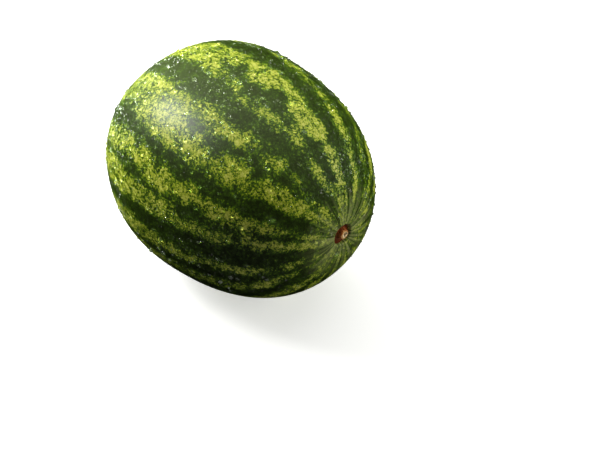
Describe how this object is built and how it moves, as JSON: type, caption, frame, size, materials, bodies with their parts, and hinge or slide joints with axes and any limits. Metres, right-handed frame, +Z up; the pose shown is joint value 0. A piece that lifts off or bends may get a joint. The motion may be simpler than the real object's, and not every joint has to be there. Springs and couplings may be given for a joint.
{
  "type": "watermelon",
  "caption": "Whole oval watermelon lying on its side, with a mottled dark and light green striped rind, a corky stem scar and a small flat spot to rest on.",
  "frame": {"origin": "under the middle of the fruit, on the surface that it rests on", "axes": "+X along the fruit towards the stem end, +Z up"},
  "size_m": [0.2572, 0.2212, 0.2224],
  "materials": {
    "rind": "waxy watermelon rind, mottled dark and light green in bands that run from end to end",
    "stem_scar": "dry cork and dried stem tissue, dull brown",
    "water": "clear beads of water on the rind"
  },
  "bodies": {
    "root": {"watermelon": "rind"}
  },
  "joints": []
}
